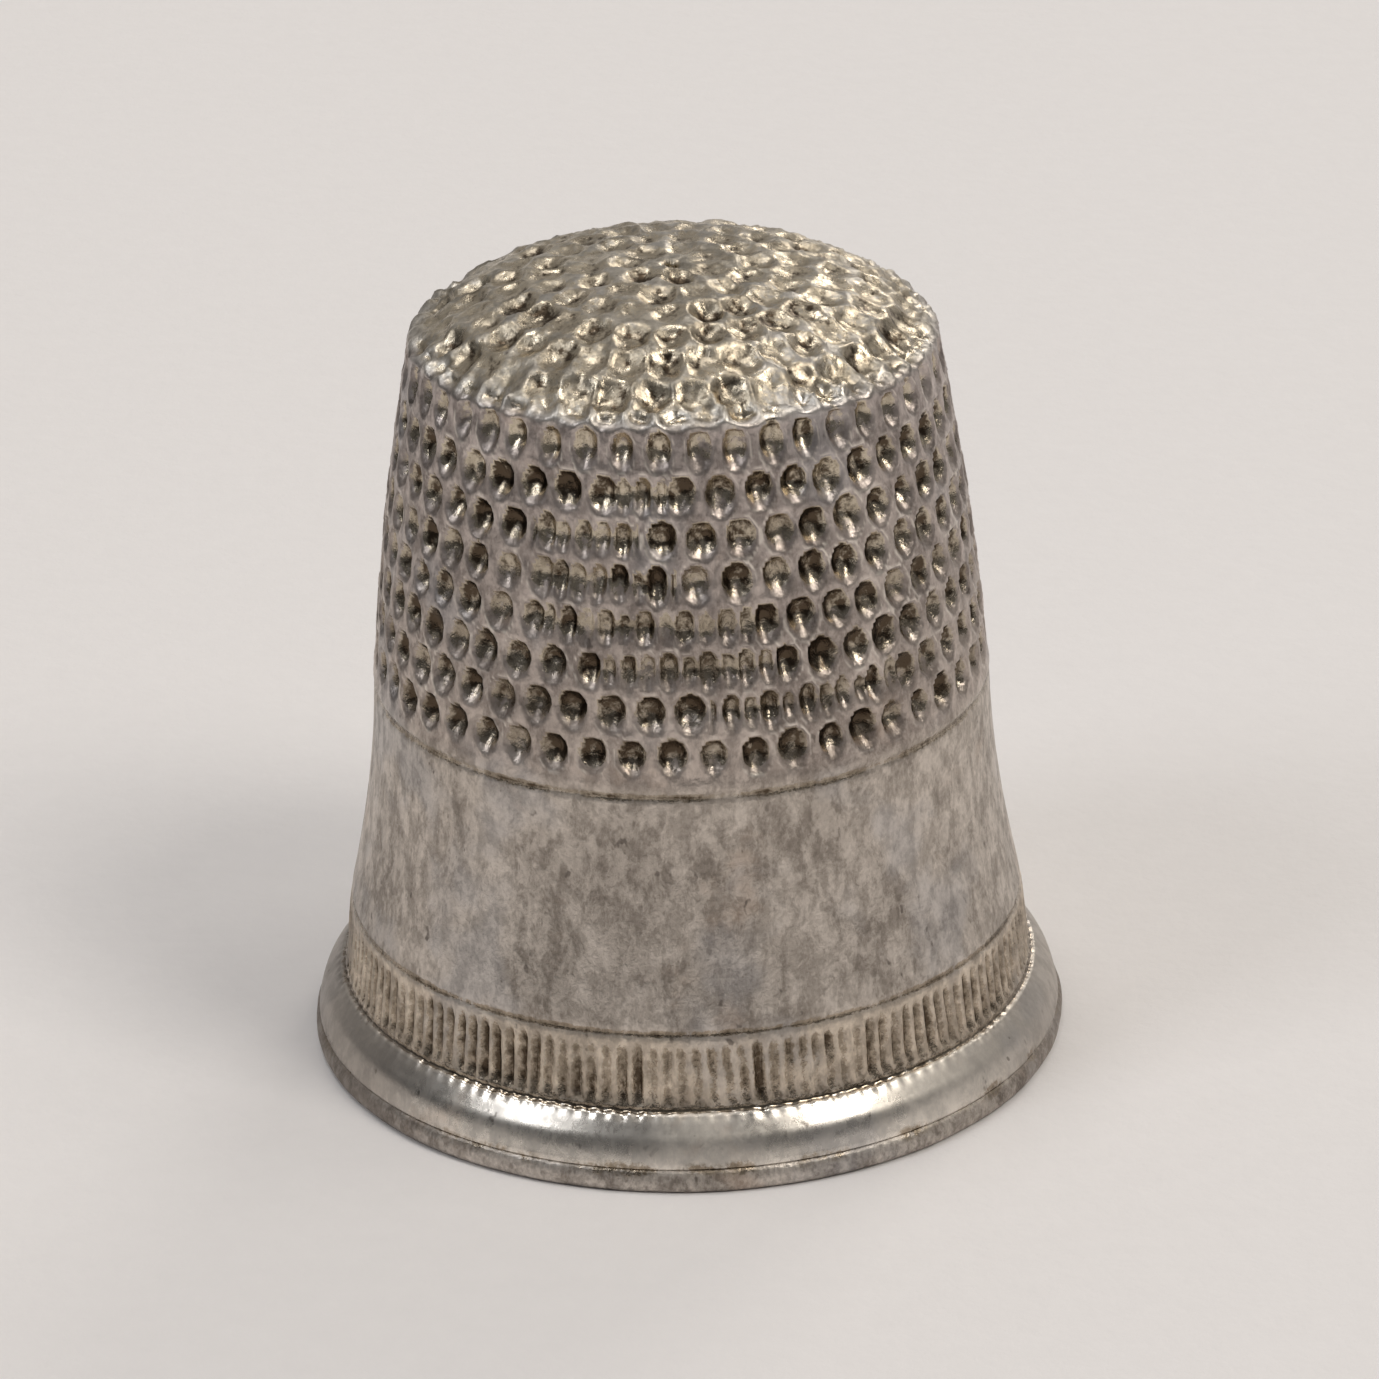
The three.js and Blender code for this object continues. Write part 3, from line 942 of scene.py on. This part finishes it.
def silver_roughness(n, noises, hollow, low_down, roughness):
    """Mottled, shinier in the hollows, and matt on parts of the flange."""
    uneven = n.maths("SUBTRACT", 0.5, n.ramp(noises["mottle"], start=0.38, end=0.62))
    rough = n.maths("MULTIPLY_ADD", uneven, MOTTLE_ROUGHNESS, by_height(n, roughness))
    shine = n.maths("MULTIPLY", n.ramp(hollow, start=0.1, end=0.5), by_height(n, PIT_SHINE))
    rough = n.maths("SUBTRACT", rough, shine)
    matte = n.maths("MULTIPLY", by_angle(n, MATTE_AROUND), low_down)
    rough = n.maths("MULTIPLY_ADD", matte, MATTE_ROUGHNESS, rough)
    return n.maths("MAXIMUM", rough, LEAST_ROUGHNESS)


def silver(name, clean, dull, roughness, texture, streaks):
    """Worn silver: mottled grey with upright rub marks and dark specks, and brown where it is hollow, which
    is tarnish with painted shade; with painted highlights on the lips and painted shade low around the rim.

    clean, dull, roughness and texture, the strength of the fine bumps, are stops for by_height.
    streaks is the share of the upright rub marks.
    """
    material, n, inputs = new_material(name)
    noises = {key: n.noise(**settings) for key, settings in SILVER_NOISES.items()}
    hollow = ragged_hollow(n, noises)
    share = clean_share(n, noises, streaks)
    metal = open_metal(n, noises, n.mix(share, by_height(n, dull), by_height(n, clean)))
    tarnished = hollows_and_lips(n, hollow, share, metal)
    low_down = n.ramp(n.split(n.millimetres())[2], start=GUTTER_TOP, end=FLANGE_TOP)
    # Painted shade low on the rim, by the angle around it.
    shaded = n.mix(n.maths("MULTIPLY", by_angle(n, PAINTED_SHADE_AROUND), low_down), tarnished, PAINTED_SHADE)
    n.put(inputs["Base Color"], shaded)
    n.put(inputs["Metallic"], 1.0)
    n.put(inputs["Roughness"], silver_roughness(n, noises, hollow, low_down, roughness))
    heights = n.maths("ADD", noises["mottle"], n.maths("MULTIPLY", noises["grit"], GRIT_BUMP))
    bumps = {"Height": heights, "Strength": by_height(n, texture), "Distance": BUMP_DISTANCE}
    n.put(inputs["Normal"], n.add("Bump", bumps).outputs[0])
    return material


# Where the shell's looks change: at the foot of the band, at the top of the pits and by the cap's edge.
BAND_START, KNURL_END = REED_TOP + 0.2, KNURL_TOP - 0.1
EDGE_START, EDGE_END = CAP_EDGE - 0.2, CAP_EDGE + 0.05

SHELL_CLEAN = [
    (FLANGE_TOP, colour(0.87, 0.81, 0.73)),
    (GUTTER_TOP, colour(0.80, 0.69, 0.56)),
    (REED_TOP, colour(0.82, 0.72, 0.60)),
    (BAND_START, colour(0.71, 0.645, 0.58)),
    (GROOVE_1, colour(0.70, 0.63, 0.56)),
    (KNURL_FOOT, colour(0.62, 0.54, 0.48)),
    (KNURL_END, colour(0.58, 0.51, 0.475)),
    # Paler at the cap's corner: a painted highlight.
    (EDGE_START, colour(0.86, 0.82, 0.76)),
    (EDGE_END, colour(0.55, 0.505, 0.44)),
]
SHELL_DULL = [
    (FLANGE_TOP, colour(0.58, 0.545, 0.50)),
    (GUTTER_TOP, colour(0.38, 0.32, 0.26)),
    (REED_TOP, colour(0.42, 0.36, 0.30)),
    (BAND_START, colour(0.26, 0.225, 0.192)),
    (GROOVE_1, colour(0.26, 0.225, 0.192)),
    (KNURL_FOOT, colour(0.245, 0.206, 0.182)),
    (KNURL_END, colour(0.235, 0.202, 0.187)),
    # Paler at the cap's corner: a painted highlight.
    (EDGE_START, colour(0.36, 0.33, 0.295)),
    (EDGE_END, colour(0.25, 0.225, 0.185)),
]
SHELL_ROUGH = [
    (FLANGE_TOP, 0.28),
    (GUTTER_TOP, 0.42),
    (GROOVE_1, 0.43),
    (KNURL_FOOT, 0.4),
    (KNURL_END, 0.38),
    (CAP_EDGE, 0.47),
]
SHELL_TEXTURE = [
    (FLANGE_TOP, 0.03),
    (GUTTER_TOP, 0.42),
    (GROOVE_1, 0.42),
    (KNURL_FOOT, 0.38),
    (CAP_EDGE, 0.25),
]
SHELL_STREAKS = 0.12


def even(shade):
    """Stops for by_height that are the same all the way up."""
    return [(0, shade), (HEIGHT, shade)]


RING_CLEAN = even(colour(0.68, 0.625, 0.57))
RING_DULL = even(colour(0.22, 0.19, 0.165))
RING_ROUGH = even(0.48)
RING_TEXTURE = even(0.45)
RING_STREAKS = 0.0

SHELL_LOOKS = (SHELL_CLEAN, SHELL_DULL, SHELL_ROUGH, SHELL_TEXTURE, SHELL_STREAKS)
RING_LOOKS = (RING_CLEAN, RING_DULL, RING_ROUGH, RING_TEXTURE, RING_STREAKS)
shell.data.materials.append(silver("worn_silver_shell", *SHELL_LOOKS))
ring.data.materials.append(silver("worn_silver_ring", *RING_LOOKS))


# ---- floor, light and camera --------------------------------------------------------------------------

FLOOR_REACH = 3.0
FLOOR_DARK, FLOOR_PALE = colour(0.815, 0.792, 0.792), colour(0.855, 0.832, 0.832)
FLOOR_ROUGHNESS, FLOOR_SHINE = 0.8, 0.1
FLOOR_NAP, FLOOR_NAP_DISTANCE = 0.25, 0.1 * MM


def pale_card():
    material, n, inputs = new_material("pale_card")
    fibre = n.noise(per_mm=1.2, detail=4.0, rough=0.6)
    n.put(inputs["Base Color"], n.mix(fibre, FLOOR_DARK, FLOOR_PALE))
    n.put(inputs["Roughness"], FLOOR_ROUGHNESS)
    n.put(inputs["Specular IOR Level"], FLOOR_SHINE)
    nap = n.noise(per_mm=2.5, detail=3.0, rough=0.6)
    bump = n.add("Bump", {"Height": nap, "Strength": FLOOR_NAP, "Distance": FLOOR_NAP_DISTANCE})
    n.put(inputs["Normal"], bump.outputs[0])
    return material


def floor():
    corners = [(x * FLOOR_REACH, y * FLOOR_REACH, 0) for x, y in ((-1, -1), (1, -1), (1, 1), (-1, 1))]
    mesh = bpy.data.meshes.new("floor")
    mesh.from_pydata(corners, [], [(0, 1, 2, 3)])
    mesh.materials.append(pale_card())
    piece = bpy.data.objects.new("floor", mesh)
    bpy.context.scene.collection.objects.link(piece)
    return piece


floor()


def direction(azimuth, elevation):
    """A unit vector: azimuth in degrees from the front towards +X, elevation above the floor."""
    turn, rise = math.radians(azimuth), math.radians(elevation)
    return Vector((math.sin(turn) * math.cos(rise), -math.cos(turn) * math.cos(rise), math.sin(rise)))


MIDDLE = Vector((0, 0, HEIGHT * MM / 2))
LAMP_DISTANCE = 2.0


def softbox(name, azimuth, elevation, width, height, power, tint):
    """A soft light of a given width and height in degrees, as seen from the thimble."""
    light = bpy.data.lights.new(name, "AREA")
    light.shape = "RECTANGLE"
    light.size = 2 * LAMP_DISTANCE * math.tan(math.radians(width / 2))
    light.size_y = 2 * LAMP_DISTANCE * math.tan(math.radians(height / 2))
    light.energy = power
    light.color = tint
    lamp = bpy.data.objects.new(name, light)
    towards = direction(azimuth, elevation)
    lamp.location = MIDDLE + towards * LAMP_DISTANCE
    lamp.rotation_euler = towards.to_track_quat("Z", "Y").to_euler()
    bpy.context.scene.collection.objects.link(lamp)


WARM, COOL, PLAIN = (1.0, 0.95, 0.87), (0.95, 0.97, 1.0), (1.0, 0.98, 0.95)

# Each lamp: name, azimuth, elevation, width, height, power and tint.
LAMPS = [
    ("right_front", 56, 50, 17, 22, 12.6, WARM),
    ("left_front", -62, 46, 17, 22, 6.4, COOL),
    ("back_right", 152, 30, 18, 11, 5.8, WARM),
    ("right_high", 100, 63, 14, 14, 2.6, WARM),
    ("overhead", 235, 78, 13, 13, 5.6, PLAIN),
]
for lamp_settings in LAMPS:
    softbox(*lamp_settings)

DIM_LEFT, DIM_RIGHT = colour(0.105, 0.105, 0.106), colour(0.15, 0.146, 0.143)
CEILING, PALE_BACK = colour(0.34, 0.326, 0.312), colour(0.63, 0.61, 0.59)

# The direction of the pale back of the room, a little to the right, and how far the ceiling leans back.
BACK_ACROSS, BACK_BEHIND = 0.35, 0.93
CEILING_LEAN = 0.6


def surroundings():
    """A plain room: dim in front, paler overhead and behind, and palest low down at the back."""
    world = bpy.data.worlds.new("room")
    bpy.context.scene.world = world
    world.use_nodes = True
    n = Nodes(world.node_tree)
    right, back, up = n.split(n.add("TexCoord").outputs["Generated"])
    aside = n.maths("MULTIPLY", right, BACK_ACROSS)
    behind = n.ramp(n.maths("MULTIPLY_ADD", back, BACK_BEHIND, aside), start=0.4, end=0.9)
    low = n.ramp(up, start=0.6, end=0.1)
    ceiling = n.ramp(n.maths("MULTIPLY_ADD", back, CEILING_LEAN, up), start=0.35, end=0.85)
    walls = n.mix(n.ramp(right, start=-0.7, end=0.8), DIM_LEFT, DIM_RIGHT)
    room = n.mix(n.maths("MULTIPLY", behind, low), n.mix(ceiling, walls, CEILING), PALE_BACK)
    n.put(n.tree.nodes["Background"].inputs["Color"], room)


surroundings()

# The camera looks down a little at the thimble's middle, and is turned slightly clockwise.
CAMERA_ELEVATION = 24.8
CAMERA_DISTANCE = 128.42 * MM
CAMERA_ROLL = -1.336
CAMERA_LENS, CAMERA_SENSOR = 142.2, 36.0
CAMERA_NEAREST = 0.005
CAMERA_TURNS_ABOUT = Vector((0, 0, 8.197 * MM))
CAMERA_AIM = Vector((0.188, 0.110, 8.436)) * MM


def add_camera():
    data = bpy.data.cameras.new("camera")
    data.lens = CAMERA_LENS
    data.sensor_width = CAMERA_SENSOR
    data.clip_start = CAMERA_NEAREST
    camera = bpy.data.objects.new("camera", data)
    place = CAMERA_TURNS_ABOUT + direction(0, CAMERA_ELEVATION) * CAMERA_DISTANCE
    forward = (CAMERA_AIM - place).normalized()
    right = forward.cross(Vector((0, 0, 1))).normalized()
    up = right.cross(forward)
    roll = Matrix.Rotation(math.radians(-CAMERA_ROLL), 4, forward)
    axes = Matrix((right, up, -forward)).transposed().to_4x4()
    camera.matrix_world = Matrix.Translation(place) @ roll @ axes
    bpy.context.scene.collection.objects.link(camera)
    bpy.context.scene.camera = camera


add_camera()
bpy.context.scene.view_settings.view_transform = "Standard"
